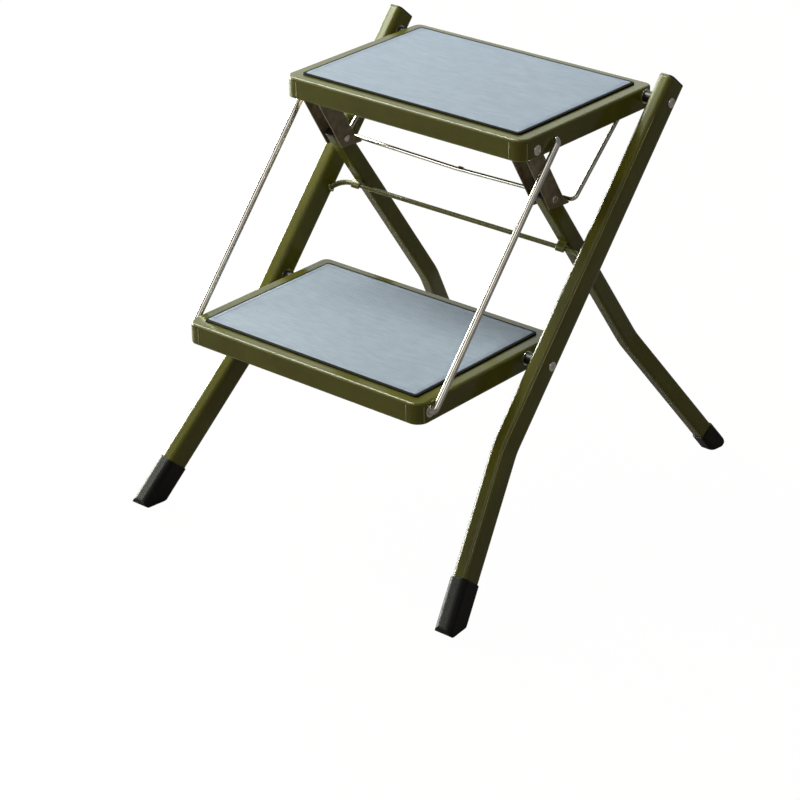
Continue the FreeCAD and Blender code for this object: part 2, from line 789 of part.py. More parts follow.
def tieBar():
    """A round bar with both ends bent down along the front legs, cut off at their inner faces."""
    body = newBody("tie_bar_blank")
    profile = newSketch(body, "YZ_Plane", "profile")
    addCircle(profile, "bar", s.barRadius)
    corner = barStraightHalf + tangent(s.barTurn / 2) * s.barBendRadius
    slant = (legOuter - corner) / cosine(s.barTurn)
    runs = [(slant, -s.barTurn, s.barBendRadius), (corner * 2, 0, s.barBendRadius),
            (slant, s.barTurn, 0)]
    spine = newSketch(body, "XZ_Plane", "spine")
    edges = addPath(spine, runs)
    pipe(body, profile, spine, edges)
    start = along(barCentre, s.legTilt, slant * sine(s.barTurn))
    place(body, start, -legOuter, s.legTilt, downwards=True)
    between = doc.addObject("Part::Box", "between_legs")
    bind(between, "Length", legInner * 2)
    bind(between, "Width", s.floorBlock * 2)
    bind(between, "Height", s.floorBlock * 2)
    low = Vector(
        -legInner.value,
        barCentre[0].value - s.floorBlock.value,
        barCentre[1].value - s.floorBlock.value,
    )
    between.Placement = Placement(low, Rotation())
    bar = doc.addObject("Part::Common", "tie_bar_cut")
    bar.Base = body
    bar.Tool = between
    bar.Label = "tie_bar"
    finish(bar)


# Round pieces on an axis across the stool
def turned(label, steps, point, side, start):
    """Coaxial cylinders along the stool's width, from start outwards. steps lists (radius, length)."""
    body = newBody(label)
    at = asSize(0)
    for i, (radius, length) in enumerate(steps):
        ring = newSketch(body, "XY_Plane", f"ring{i}")
        addCircle(ring, "ring", radius)
        ring.setExpression("AttachmentOffset.Base.z", at.text)
        pad(body, ring, length)
        at = at + length
    place(body, point, start * side, side=side, sideways=True)
    return body


def collar(label, outer, inner, length, point, side, start):
    """A tube along the stool's width, from start outwards."""
    body = newBody(label)
    ring = newSketch(body, "XY_Plane", "ring")
    addCircle(ring, "outer", outer)
    addCircle(ring, "inner", inner)
    pad(body, ring, length)
    place(body, point, start * side, side=side, sideways=True)
    return body


def dome(body, height):
    """Round the outer rim of a rivet head."""
    doc.recompute()
    end = body.Tip.Shape.BoundBox.ZMax
    roundEdges(body, height, lambda edge: all(abs(v.Z - end) < 1e-6 for v in edge.Vertexes))


def dimple(body, radius, depth, end):
    """A round hollow in the end face of a rivet, end being its distance from the origin."""
    hollow = newSketch(body, "XY_Plane", "dimple")
    addCircle(hollow, "dimple", radius)
    hollow.setExpression("AttachmentOffset.Base.z", asSize(end).text)
    pocket(body, hollow, depth)


def hinge(which, point, side):
    name = sideName(side)
    inner = skirtInner - s.runningFit
    start = inner - s.hingeInnerHead
    pin = turned(
        f"{which}_hinge_pin_{name}",
        [
            (s.hingeInnerRadius, s.hingeInnerHead),
            (s.hingePinRadius, legOuter - inner),
            (s.hingeHeadRadius, s.hingeHeadHeight),
        ],
        point, side, start,
    )
    dome(pin, s.hingeHeadHeight * 0.7)
    dimple(pin, s.dimpleRadius, s.dimpleDepth, legOuter - start + s.hingeHeadHeight)
    finish(pin)
    bore = s.hingePinRadius + s.pressFit
    sleeveStart = skirtOuter + s.runningFit + s.washerThickness
    sleeveEnd = legInner - s.washerThickness
    sleeve = collar(
        f"{which}_hinge_sleeve_{name}", s.sleeveRadius, bore, sleeveEnd - sleeveStart,
        point, side, sleeveStart,
    )
    finish(sleeve)
    return [
        collar(
            f"{which}_washer_{name}_{spot}", s.washerRadius, bore, s.washerThickness,
            point, side, start,
        )
        for spot, start in (("step", skirtOuter + s.runningFit), ("leg", sleeveEnd))
    ]


def group(label, pieces):
    """Separate solids that share one node."""
    compound = doc.addObject("Part::Compound", label)
    compound.Links = pieces
    compound.Label = label
    finish(compound)


# Lock brackets
def lockBracket(side):
    name = sideName(side)
    body = newBody(f"lock_bracket_{name}")
    front = s.bracketFront
    back = -s.bracketBack
    start = newSketch(body, "YZ_Plane", "top_end")
    addCircle(start, "end", front)
    pad(body, start, s.bracketWidth, symmetric=True)
    flank = newSketch(body, "YZ_Plane", "flank")
    tip = back - s.tailFlare
    addPolygon(flank, "flank", [
        (front, 0), (front, s.bracketEndFront), (tip + s.tailTip, s.tailEnd), (tip, s.tailEnd),
        (back, s.tailStart), (back, s.webStart),
    ])
    pad(body, flank, s.bracketWidth, symmetric=True)
    channel = newSketch(body, "YZ_Plane", "channel")
    above = -front * 2
    far = s.tailEnd + front
    inside = back + s.bracketSheet
    addPolygon(channel, "channel", [(front * 2, above), (front * 2, far), (inside, far), (inside, above)])
    pocket(body, channel, s.bracketWidth - s.bracketSheet * 2, symmetric=True)
    window = newSketch(body, "YZ_Plane", "window")
    addPolygon(window, "window", [
        (inside + s.bracketSheet, s.webEnd), (inside + s.bracketSheet, far),
        (back * 2, far), (back * 2, s.webEnd),
    ])
    pocket(body, window, s.bracketWidth - s.bracketSheet * 2, symmetric=True)
    holes = newSketch(body, "YZ_Plane", "holes")
    addCircle(holes, "step", s.bracketPinRadius + s.runningFit)
    addCircle(holes, "leg", s.bracketPinRadius + s.pressFit, 0, s.bracketReach)
    pocket(body, holes, s.bracketWidth * 2, symmetric=True)
    place(body, bracketPivot, rearCentre * side, -s.bracketTilt, downwards=True)
    finish(body)

    outer = rearCentre + s.bracketWidth / 2
    inner = rearCentre - s.bracketWidth / 2
    # The rivet that carries the bracket is fixed in the step's skirt
    start = inner - s.bracketHeadHeight - s.runningFit
    spacer = skirtInner - outer - s.runningFit
    rivet = turned(
        f"bracket_rivet_{name}",
        [
            (s.bracketHeadRadius, s.bracketHeadHeight),
            (s.bracketPinRadius, outer - inner + s.runningFit * 2),
            (s.bracketHeadRadius, spacer),
            (s.bracketPinRadius, skirtOuter - skirtInner),
            (s.rivetHeadRadius, s.bracketHeadHeight),
        ],
        bracketPivot, side, start,
    )
    dome(rivet, s.bracketHeadHeight * 0.7)
    end = skirtOuter - start + s.bracketHeadHeight
    dimple(rivet, s.rivetDimpleRadius, s.rivetDimpleDepth, end)
    finish(rivet)
    # Two short rivets stand for the one through the rear leg
    heads = []
    shank = s.bracketSheet + s.bracketPinInside
    for spot, facing, x in (("outer", side, outer), ("inner", -side, inner)):
        head = newBody(f"bracket_head_{name}_{spot}")
        ring = newSketch(head, "XY_Plane", "head")
        addCircle(ring, "head", s.bracketHeadRadius)
        pad(head, ring, s.bracketHeadHeight)
        stem = newSketch(head, "XY_Plane", "stem")
        addCircle(stem, "stem", s.bracketPinRadius)
        pad(head, stem, shank, reverse=True)
        dome(head, s.bracketHeadHeight * 0.7)
        place(head, elbow, x * side, side=facing, sideways=True)
        heads.append(head)
    group(f"bracket_pins_{name}", heads)


# Link rods
def linkRod(side):
    name = sideName(side)
    body = newBody(f"link_rod_{name}")
    inner = skirtInner - s.rodTail
    across = rodCentre - inner
    profile = newSketch(body, "YZ_Plane", "profile")
    addCircle(profile, "rod", s.rodRadius)
    spine = newSketch(body, "XZ_Plane", "spine")
    out = 0 if side > 0 else 180
    back = 180 if side > 0 else 0
    edges = addPath(spine, [
        (across, out, s.rodBend), (s.hingeSpacing, 90, s.rodBend), (across, back, 0),
    ])
    pipe(body, profile, spine, edges)
    place(body, rodTop, inner * side, s.legTilt, downwards=True)
    finish(body)
    rodLow = along(rodTop, s.legTilt, s.hingeSpacing)
    washer = collar(
        f"rod_washer_{name}", s.rodWasherRadius, s.rodRadius + s.pressFit, s.rodWasherThickness,
        rodLow, side, skirtOuter + s.runningFit,
    )
    finish(washer)


# Lock wire and its clips
def lockWire():
    body = newBody("lock_wire")
    profile = newSketch(body, "YZ_Plane", "profile")
    addCircle(profile, "wire", s.wireRadius)
    spine = newSketch(body, "XZ_Plane", "spine")
    half = wireCentre / cosine(s.wireDip)
    edges = addPath(spine, [
        (s.wireTail, 180, s.wireBend), (s.wireArm, 90, s.wireBend),
        (half, s.wireDip, s.wireMidBend), (half, -s.wireDip, s.wireBend),
        (s.wireArm, -90, s.wireBend), (s.wireTail, -180, 0),
    ])
    pipe(body, profile, spine, edges)
    place(body, wireHinge, -(wireCentre - s.wireTail), s.wireTilt, downwards=True)
    finish(body)


def wireClip(side):
    """A strap under the pan that wraps the wire's turned-in end."""
    body = newBody(f"wire_clip_{sideName(side)}")
    inner = s.wireRadius + s.wirePlateGap
    outer = inner + s.clipSheet
    top = wireHingeDrop - plateUnderside
    sheet = s.clipSheet
    wrap = newSketch(body, "YZ_Plane", "wrap")
    addCircle(wrap, "wrap", outer)
    pad(body, wrap, s.clipWidth, symmetric=True)
    arms = newSketch(body, "YZ_Plane", "arms")
    foot_end = outer + s.clipFoot
    addPolygon(arms, "arms", [
        (-foot_end, top), (-foot_end, top - sheet), (-outer, top - sheet), (-outer, 0),
        (outer, 0), (outer, top - sheet), (foot_end, top - sheet), (foot_end, top),
    ])
    pad(body, arms, s.clipWidth, symmetric=True)
    bore = newSketch(body, "YZ_Plane", "bore")
    addCircle(bore, "bore", inner)
    pocket(body, bore, s.clipWidth * 2, symmetric=True)
    slot = newSketch(body, "YZ_Plane", "slot")
    above = outer * 2
    addPolygon(slot, "slot", [
        (-inner, 0), (inner, 0), (inner, top), (foot_end, top),
        (foot_end, above), (-foot_end, above), (-foot_end, top), (-inner, top),
    ])
    pocket(body, slot, s.clipWidth * 2, symmetric=True)
    place(body, wireHinge, (wireCentre - s.wireTail / 2 - s.clipWidth / 4) * side)
    finish(body)


# Assembly
hingeHole = s.hingePinRadius + s.runningFit
rodHole = s.rodRadius + s.runningFit
topHingeBehind = s.panDepth - s.topHingeInset
lowerHingeBehind = s.panDepth - s.lowerHingeInset
rodLowBehind = s.rodInset - (topHingeBehind - lowerHingeBehind)
stepPan("top_step_pan", topPanFront, [
    (topHingeBehind, s.hingeDrop, hingeHole),
    (s.rodInset, s.rodDrop, rodHole),
    (s.bracketInset, s.bracketDrop, s.bracketPinRadius + s.pressFit),
])
stepPan("lower_step_pan", lowerPanFront, [
    (lowerHingeBehind, s.hingeDrop, hingeHole),
    (rodLowBehind, s.rodDrop, rodHole),
])
for which, panFront in (("top", topPanFront), ("lower", lowerPanFront)):
    stepMat(f"{which}_step_mat", panFront)
    stepRib(f"{which}_step_stiffener", panFront)
washers = []
for side in (-1, 1):
    frontLeg(side)
    rearLeg(side)
    washers += hinge("top", topHinge, side)
    washers += hinge("lower", lowerHinge, side)
    lockBracket(side)
    linkRod(side)
    wireClip(side)
group("hinge_washers", washers)
lockWire()
tieBar()
doc.recompute()

faults = [thing.Name for thing in doc.Objects if "Invalid" in thing.State or "Error" in thing.State]
for thing in finished:
    shape = thing.Shape
    if shape.isNull() or not shape.isValid() or not shape.Solids:
        faults.append(thing.Label)
if faults:
    raise RuntimeError(f"failed: {faults}")

os.makedirs("parts", exist_ok=True)
for thing in finished:
    thing.Shape.exportStep(f"parts/{thing.Label}.step")

box = Part.makeCompound([thing.Shape for thing in finished]).BoundBox
print(f"{len(finished)} sub-parts")
print(f"x {box.XMin:.2f} {box.XMax:.2f}  y {box.YMin:.2f} {box.YMax:.2f}  z {box.ZMin:.2f} {box.ZMax:.2f}")
for name, point in (
    ("top hinge", topHinge), ("lower hinge", lowerHinge), ("bracket pivot", bracketPivot),
    ("elbow", elbow), ("tie bar", barCentre), ("rod top", rodTop), ("wire hinge", wireHinge),
):
    print(f"{name}: y {point[0].value:.4f} z {point[1].value:.4f}")
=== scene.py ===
import json
import math
import random

import bmesh
import bpy
from mathutils import Matrix, Vector


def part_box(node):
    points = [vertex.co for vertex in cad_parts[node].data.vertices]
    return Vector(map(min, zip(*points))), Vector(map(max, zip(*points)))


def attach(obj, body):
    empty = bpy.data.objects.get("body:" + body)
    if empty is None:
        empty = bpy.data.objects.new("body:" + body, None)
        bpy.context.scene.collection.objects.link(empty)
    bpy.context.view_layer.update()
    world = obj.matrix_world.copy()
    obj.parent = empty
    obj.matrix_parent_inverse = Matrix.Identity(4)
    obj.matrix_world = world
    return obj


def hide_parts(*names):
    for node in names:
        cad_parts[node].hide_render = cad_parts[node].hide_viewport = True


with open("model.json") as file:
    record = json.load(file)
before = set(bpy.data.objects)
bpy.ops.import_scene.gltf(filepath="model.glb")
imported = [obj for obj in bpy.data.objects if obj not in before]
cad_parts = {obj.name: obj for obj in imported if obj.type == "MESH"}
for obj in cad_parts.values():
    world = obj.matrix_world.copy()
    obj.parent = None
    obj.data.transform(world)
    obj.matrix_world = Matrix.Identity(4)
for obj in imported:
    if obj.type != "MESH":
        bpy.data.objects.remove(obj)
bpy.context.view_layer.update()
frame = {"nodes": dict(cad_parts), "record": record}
sides = {"left": -1, "right": 1}
print("frame loaded")


# Colours and shader nodes

def linear(hexText, alpha=1.0):
    channels = [int(hexText[i:i + 2], 16) / 255 for i in (1, 3, 5)]
    return tuple(c / 12.92 if c <= 0.04045 else ((c + 0.055) / 1.055) ** 2.4 for c in channels) + (alpha,)


def addNode(tree, kind, inputs=None, **settings):
    # a node with its settings, and its inputs by name or number: a socket is linked, a value is set
    node = tree.nodes.new(kind)
    for name, value in settings.items():
        if hasattr(node, name):
            setattr(node, name, value)
        else:
            node.inputs[name.replace("_", " ")].default_value = value
    for place, source in (inputs or {}).items():
        if isinstance(source, bpy.types.NodeSocket):
            tree.links.new(source, node.inputs[place])
        else:
            node.inputs[place].default_value = source
    return node


def newMaterial(name):
    material = bpy.data.materials.new(name)
    material.use_nodes = True
    tree = material.node_tree
    tree.nodes.clear()
    output = tree.nodes.new("ShaderNodeOutputMaterial")
    shader = tree.nodes.new("ShaderNodeBsdfPrincipled")
    tree.links.new(shader.outputs[0], output.inputs[0])
    coords = tree.nodes.new("ShaderNodeTexCoord")
    return material, tree, shader, coords.outputs["Object"]


def surface(
    name, base, varied, rough, roughSpread=0.05, metal=0.0, blotch=0.02, grain=0.0004,
    bump=0.1, bumpDepth=0.0001, ripple=0.0, rippleSize=0.01, coat=0.0, coatRough=0.1, ior=None,
    shine=0.5, stretch=(1, 1, 1), edgeWearAndHighlight=None, edgeWearAndHighlightAmount=0.6, edge=0.0008,
):
    # a finish that drifts from base to varied over blotch metres, with grain in relief and its edges
    # blended towards a second colour, which is real wear on some finishes and a painted highlight on the
    # pans' enamel
    material, tree, shader, coords = newMaterial(name)
    mapping = addNode(tree, "ShaderNodeMapping", {"Vector": coords}, Scale=stretch)
    patches = addNode(
        tree, "ShaderNodeTexNoise", {"Vector": mapping.outputs[0]}, Scale=1 / blotch, Detail=4.0,
    )
    fine = addNode(
        tree, "ShaderNodeTexNoise", {"Vector": mapping.outputs[0]}, Scale=1 / grain, Detail=3.0,
    )
    spreadOut = addNode(
        tree, "ShaderNodeMapRange", {"Value": patches.outputs[0]}, From_Min=0.3, From_Max=0.7,
    )
    colour = addNode(
        tree, "ShaderNodeMix", {0: spreadOut.outputs[0], 6: linear(base), 7: linear(varied)},
        data_type="RGBA",
    ).outputs[2]
    rounded = addNode(tree, "ShaderNodeBevel", samples=4, Radius=edge)
    if edgeWearAndHighlight:
        flat = tree.nodes.new("ShaderNodeNewGeometry")
        bend = addNode(
            tree, "ShaderNodeVectorMath", {0: rounded.outputs[0], 1: flat.outputs["Normal"]},
            operation="DOT_PRODUCT",
        )
        rim = addNode(
            tree, "ShaderNodeMapRange", {"Value": bend.outputs["Value"]},
            From_Min=0.995, From_Max=0.9, To_Max=edgeWearAndHighlightAmount,
        )
        wearAndHighlightMask = addNode(
            tree, "ShaderNodeMath", {0: rim.outputs[0], 1: spreadOut.outputs[0]}, operation="MULTIPLY",
        )
        colour = addNode(
            tree, "ShaderNodeMix", {0: wearAndHighlightMask.outputs[0], 6: colour, 7: linear(edgeWearAndHighlight)}, data_type="RGBA",
        ).outputs[2]
    tree.links.new(colour, shader.inputs["Base Color"])
    gloss = addNode(
        tree, "ShaderNodeMapRange", {"Value": patches.outputs[0]},
        To_Min=rough - roughSpread, To_Max=rough + roughSpread,
    )
    tree.links.new(gloss.outputs[0], shader.inputs["Roughness"])
    normal = rounded.outputs[0]
    if ripple:
        waves = addNode(
            tree, "ShaderNodeTexNoise", {"Vector": coords}, Scale=1 / rippleSize, Detail=1.0,
        )
        normal = addNode(
            tree, "ShaderNodeBump", {"Height": waves.outputs[0], "Normal": normal},
            Strength=1.0, Distance=ripple,
        ).outputs[0]
    relief = addNode(
        tree, "ShaderNodeBump", {"Height": fine.outputs[0], "Normal": normal},
        Strength=bump, Distance=bumpDepth,
    )
    tree.links.new(relief.outputs[0], shader.inputs["Normal"])
    shader.inputs["Metallic"].default_value = metal
    shader.inputs["Specular IOR Level"].default_value = shine
    if coat:
        tree.links.new(normal, shader.inputs["Coat Normal"])
        shader.inputs["Coat Weight"].default_value = coat
        shader.inputs["Coat Roughness"].default_value = coatRough
    if ior:
        shader.inputs["IOR"].default_value = ior
    return material


# Glossy olive enamel sprayed on steel: a clear skin with orange peel about 12 mm across, far coarser
# than the real 2 mm so that it shows
enamel = dict(
    base="#6a6a22", varied="#5d5b1b", rough=0.24, blotch=0.05, grain=0.0014, bump=0.05,
    bumpDepth=0.00004, ripple=0.00004, rippleSize=0.012, coat=0.28, coatRough=0.10, ior=1.5,
    shine=0.16,
)
# On the pans the edges are blended strongly to a pale olive, a painted highlight for the gloss line the
# rounded edges catch
olivePaint = surface("olivePaint", edge=0.0018, edgeWearAndHighlight="#cad197", edgeWearAndHighlightAmount=2.0, **enamel)
# The same on the legs, whose rolled corners are rounder, with their edges blended to a lighter olive
tubePaint = surface("tubePaint", edge=0.0036, edgeWearAndHighlight="#8d8f55", edgeWearAndHighlightAmount=0.6, **enamel)
# The same enamel pooled thick over a weld seam, painted a shade lighter as a painted highlight along the
# raised seams, edge lines and weld beads
seamHighlightPaint = surface(
    "seamHighlightPaint", "#a3a56a", "#94965a", rough=0.36, blotch=0.01, grain=0.0008, bump=0.25,
    bumpDepth=0.00006, coat=0.3, coatRough=0.16, ior=1.5,
)
# Black rubber of the treads coloured a light grey-blue, a painted sheen for the lamps' reflection across
# it: a calendered grain of about 1 mm, drawn out along the ribs
treadSheenRubber = surface(
    "treadSheenRubber", "#91a0b6", "#9fafc5", rough=0.52, roughSpread=0.06, blotch=0.006, grain=0.0009,
    bump=0.45, bumpDepth=0.00012, ior=1.5, stretch=(0.3, 1, 1),
)
# Bare black rubber of the tread's rim
rimRubber = surface(
    "rimRubber", "#08090a", "#0f1112", rough=0.70, blotch=0.01, grain=0.0006, bump=0.3,
    bumpDepth=0.00005, ior=1.52, shine=0.1,
)
# Moulded black rubber of the feet, satin where the mould was polished
footRubber = surface(
    "footRubber", "#070606", "#0e0d0d", rough=0.45, blotch=0.012, grain=0.0007, bump=0.35,
    bumpDepth=0.00006, ripple=0.00005, rippleSize=0.008, ior=1.45, shine=0.25, edgeWearAndHighlight="#1c1d1e", edge=0.001,
)
# Matt black moulded plastic
blackPlastic = surface(
    "blackPlastic", "#101010", "#171716", rough=0.45, blotch=0.01, grain=0.0005, bump=0.2,
    bumpDepth=0.00004, ior=1.49, edgeWearAndHighlight="#2c2c2a",
)
# Drawn wire with bright chrome plating, faint die lines and a slightly uneven skin
chromeWire = surface(
    "chromeWire", "#dedcd6", "#c4c1ba", rough=0.14, roughSpread=0.05, metal=1.0, blotch=0.02,
    grain=0.0010, bump=0.10, bumpDepth=0.00003, edge=0.0004,
)
# Zinc plated rivets and washers, spun by the riveting tool
zincSteel = surface(
    "zincSteel", "#efece5", "#cfcbc2", rough=0.24, roughSpread=0.08, metal=1.0, blotch=0.004,
    grain=0.0006, bump=0.18, bumpDepth=0.00004, edgeWearAndHighlight="#ece9e2", edge=0.0005,
)
# Oiled dark steel of the pressed brackets, brighter on its sheared edges
darkSteel = surface(
    "darkSteel", "#9c8f76", "#6c5e4c", rough=0.32, roughSpread=0.10, metal=0.45, blotch=0.012,
    grain=0.0009, bump=0.25, bumpDepth=0.00005, edgeWearAndHighlight="#a79f90", edgeWearAndHighlightAmount=0.8, edge=0.0007,
)

finishes = {
    "olive_paint": olivePaint,
    "mat_rubber": treadSheenRubber,
    "black_rubber": footRubber,
    "black_plastic": blackPlastic,
    "chrome_wire": chromeWire,
    "zinc_steel": zincSteel,
    "dark_steel": darkSteel,
}
slotOf = {part["node"]: part["material_slot"] for part in frame["record"]["subparts"]}
for name, thing in frame["nodes"].items():
    paintedTube = slotOf[name] == "olive_paint" and name.startswith(("front_leg", "rear_leg"))
    thing.data.materials.clear()
    thing.data.materials.append(tubePaint if paintedTube else finishes[slotOf[name]])
print("materials made")


# Mesh helpers

def newPiece(name, mesh, slot, body, material=None):
    thing = bpy.data.objects.new(name, mesh)
    bpy.context.scene.collection.objects.link(thing)
    mesh.materials.append(material or finishes[slot])
    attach(thing, body)
    return thing


def meshFrom(name, work, smoothAngle=35):
    bmesh.ops.recalc_face_normals(work, faces=work.faces)
    mesh = bpy.data.meshes.new(name)
    for face in work.faces:
        face.smooth = True
    limit = math.radians(smoothAngle)
    for edge in work.edges:
        edge.smooth = edge.is_manifold and edge.calc_face_angle(0) < limit
    work.to_mesh(mesh)
    work.free()
    return mesh


def roundedLoop(low, high, radius, z, perCorner=7):
    # points round a rectangle with round corners, from the front right corner on
    points = []
    corners = [
        (high[0], low[1], -90), (high[0], high[1], 0), (low[0], high[1], 90), (low[0], low[1], 180),
    ]
    for x, y, start in corners:
        x += -radius if x == high[0] else radius
        y += -radius if y == high[1] else radius
        for i in range(perCorner):
            angle = math.radians(start + 90 * i / (perCorner - 1))
            points.append(Vector((x + radius * math.cos(angle), y + radius * math.sin(angle), z)))
    return points


def bridge(work, loops, closeFirst=True, closeLast=True):
    # skin between loops of the same length
    rings = [[work.verts.new(p) for p in loop] for loop in loops]
    for lower, upper in zip(rings, rings[1:]):
        count = len(lower)
        for i in range(count):
            j = (i + 1) % count
            work.faces.new((lower[i], lower[j], upper[j], upper[i]))
    if closeFirst:
        work.faces.new(list(reversed(rings[0])))
    if closeLast:
        work.faces.new(rings[-1])
    return rings


def beadAlong(work, points, radius, corners=8, taper=3):
    # a round bead along points, drawn to a blunt tip over its first and last few rings
    loops = []
    for i, point in enumerate(points):
        ahead = (points[min(i + 1, len(points) - 1)] - points[max(i - 1, 0)]).normalized()
        across = ahead.cross(Vector((0, 0, 1)) if abs(ahead.z) < 0.9 else Vector((0, 1, 0))).normalized()
        up = across.cross(ahead)
        toEnd = min(i, len(points) - 1 - i)
        size = radius * math.sin(math.pi / 2 * min(1, (toEnd + 0.4) / taper))
        loops.append([
            point + (across * math.cos(turn) + up * math.sin(turn)) * size
            for turn in (2 * math.pi * k / corners for k in range(corners))
        ])
    bridge(work, loops)


# Treads: a black rim in the pan, and on it a ribbed pad whose lighter grey-blue is a painted sheen
tread = {
    "rim": 0.0033, "rimHeight": 0.0021, "rimSoft": 0.0004, "corner": 0.0045,
    "padSink": 0.0002, "edge": 0.0008, "border": 0.0045, "fieldCorner": 0.0008,
    "pitch": 0.0030, "ribRise": 0.00025, "ribShare": 0.8, "ribSink": 0.0003, "ribEndGap": 0.001,
}


def treadRim(node, body):
    low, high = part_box(node)
    work = bmesh.new()
    corner = tread["corner"]
    top = low.z + tread["rimHeight"]
    soft = Vector((tread["rimSoft"], tread["rimSoft"], 0))
    bridge(work, [
        roundedLoop(low, high, corner, low.z),
        roundedLoop(low, high, corner, top - soft.x),
        roundedLoop(low + soft, high - soft, corner - soft.x, top),
    ])
    piece = newPiece(f"{node}_rim", meshFrom(f"{node}_rim", work), "mat_rubber", body, rimRubber)
    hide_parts(node)


def treadPad(node, body):
    low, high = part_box(node)
    inset = Vector((tread["rim"], tread["rim"], 0))
    low, high = low + inset, high - inset
    corner = tread["corner"] - tread["rim"] / 2
    base = low.z + tread["rimHeight"] - tread["padSink"]
    top = high.z
    work = bmesh.new()
    loops = [roundedLoop(low, high, corner, base)]
    for i in range(4):  # rounded upper edge
        angle = math.radians(30 * i)
        back = tread["edge"] * (1 - math.cos(angle))
        drop = tread["edge"] * (1 - math.sin(angle))
        shift = Vector((back, back, 0))
        loops.append(roundedLoop(low + shift, high - shift, corner - back, top - drop))
    border = Vector((tread["border"], tread["border"], 0))
    flat = Vector((tread["ribRise"], tread["ribRise"], 0))
    for shift, drop in ((border, 0), (border + flat, tread["ribRise"])):
        loops.append(roundedLoop(low + shift, high - shift, tread["fieldCorner"], top - drop))
    bridge(work, loops)
    field = high.y - low.y - 2 * tread["border"]
    count = int(field / tread["pitch"]) - 1
    first = (low.y + high.y) / 2 - (count - 1) / 2 * tread["pitch"]
    steps = 6
    ends = [side + gap for side, gap in (
        (low.x, tread["border"] + tread["ribEndGap"]), (high.x, -tread["border"] - tread["ribEndGap"]),
    )]
    for i in range(count):
        y = first + i * tread["pitch"]
        outline = []
        for k in range(steps + 1):  # the rib's rounded back
            across = k / steps - 0.5
            rise = tread["ribRise"] * math.cos(across * math.pi)
            outline.append((
                y + across * tread["pitch"] * tread["ribShare"], top - tread["ribRise"] + rise,
            ))
        for a, b in (outline[-1], outline[0]):  # sunk a little into the pad
            outline.append((a, b - tread["ribSink"]))
        bridge(work, [[Vector((x, a, b)) for a, b in outline] for x in ends])
    piece = newPiece(f"{node}_pad", meshFrom(f"{node}_pad", work), "mat_rubber", body)
    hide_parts(node)


for node, body in (("top_step_mat", "top_step"), ("lower_step_mat", "lower_step")):
    treadRim(node, body)
    treadPad(node, body)
print("treads made")


# Seams where the turned-down flanges of a pan were welded at each corner, in the lighter seam paint as a
# painted highlight
seam = {
    "onFront": 0.0194, "onSide": 0.0090, "panCorner": 0.014, "width": 0.0013, "proud": 0.00035,
    "fromTop": 0.0042, "fromFoot": 0.0006, "sink": 0.0002,
    "swell": ((0, 0.3), (0.04, 0.85), (0.1, 1), (0.9, 1), (0.96, 0.85), (1, 0.3)),  # share up, size
}


def seamSpots(low, high):
    # where each seam stands on the skirt, and which way it faces
    radius = seam["panCorner"]
    lean = math.asin((radius - seam["onSide"]) / radius)
    for x, sideways in ((low.x, -1), (high.x, 1)):
        for y, ahead in ((low.y, -1), (high.y, 1)):
            yield Vector((x - sideways * seam["onFront"], y, 0)), Vector((0, ahead, 0))
            facing = Vector((sideways * math.cos(lean), ahead * math.sin(lean), 0))
            centre = Vector((x - sideways * radius, y - ahead * radius, 0))
            yield centre + facing * radius, facing


def panSeams(node, body):
    low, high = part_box(node)
    work = bmesh.new()
    bottom, top = low.z + seam["fromFoot"], high.z - seam["fromTop"]
    for spot, facing in seamSpots(low, high):
        across = Vector((-facing.y, facing.x, 0))
        loops = []
        for share, size in seam["swell"]:
            z = bottom + (top - bottom) * share
            loop = []
            for k in range(7):
                turn = math.pi * k / 6
                loop.append(
                    spot + across * (math.cos(turn) * seam["width"] / 2 * size)
                    + facing * (math.sin(turn) * seam["proud"] * size) + Vector((0, 0, z))
                )
            loop.append(spot - facing * seam["sink"] + Vector((0, 0, z)))
            loops.append(loop)
        bridge(work, loops)
    newPiece(f"{node}_seams", meshFrom(f"{node}_seams", work, 60), "olive_paint", body, seamHighlightPaint)


panSeams("top_step_pan", "top_step")
panSeams("lower_step_pan", "lower_step")
print("seams made")


# The pinched edge line that runs down a rolled tube, in the lighter seam paint as a painted highlight
ridge = {
    "radius": 0.00042, "step": 0.008, "sink": 0.00014, "endGap": 0.006,
    "facing": (0.83, -0.56, 0), "trimTop": 0.03, "trimFoot": 0.05,
}


def edgeLine(node, direction):
    # the points of the node furthest out along direction, level by level
    low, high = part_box(node)
    mesh = frame["nodes"][node].data
    ends = [(mesh.vertices[a].co, mesh.vertices[b].co) for a, b in (edge.vertices for edge in mesh.edges)]
    points = []
    count = int((high.z - low.z - 2 * ridge["endGap"]) / ridge["step"])
    for i in range(count + 1):
        z = low.z + ridge["endGap"] + i * ridge["step"]
        best = None
        for a, b in ends:
            if (a.z - z) * (b.z - z) < 0:
                point = a.lerp(b, (z - a.z) / (b.z - a.z))
                if best is None or point.dot(direction) > best.dot(direction):
                    best = point
        if best is not None:
            points.append(best - direction * ridge["sink"])
    return points


for side, sign in sides.items():
    node = f"front_leg_{side}"
    low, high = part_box(node)
    bottom, top = low.z + ridge["trimFoot"], high.z - ridge["trimTop"]
    x, y, z = ridge["facing"]
    points = edgeLine(node, Vector((sign * x, y, z)).normalized())
    work = bmesh.new()
    beadAlong(work, [p for p in points if bottom <= p.z <= top], ridge["radius"])
    line = meshFrom(f"{node}_edge_line", work, 70)
    newPiece(f"{node}_edge_line", line, "olive_paint", "front_frame", seamHighlightPaint)
print("edge lines made")


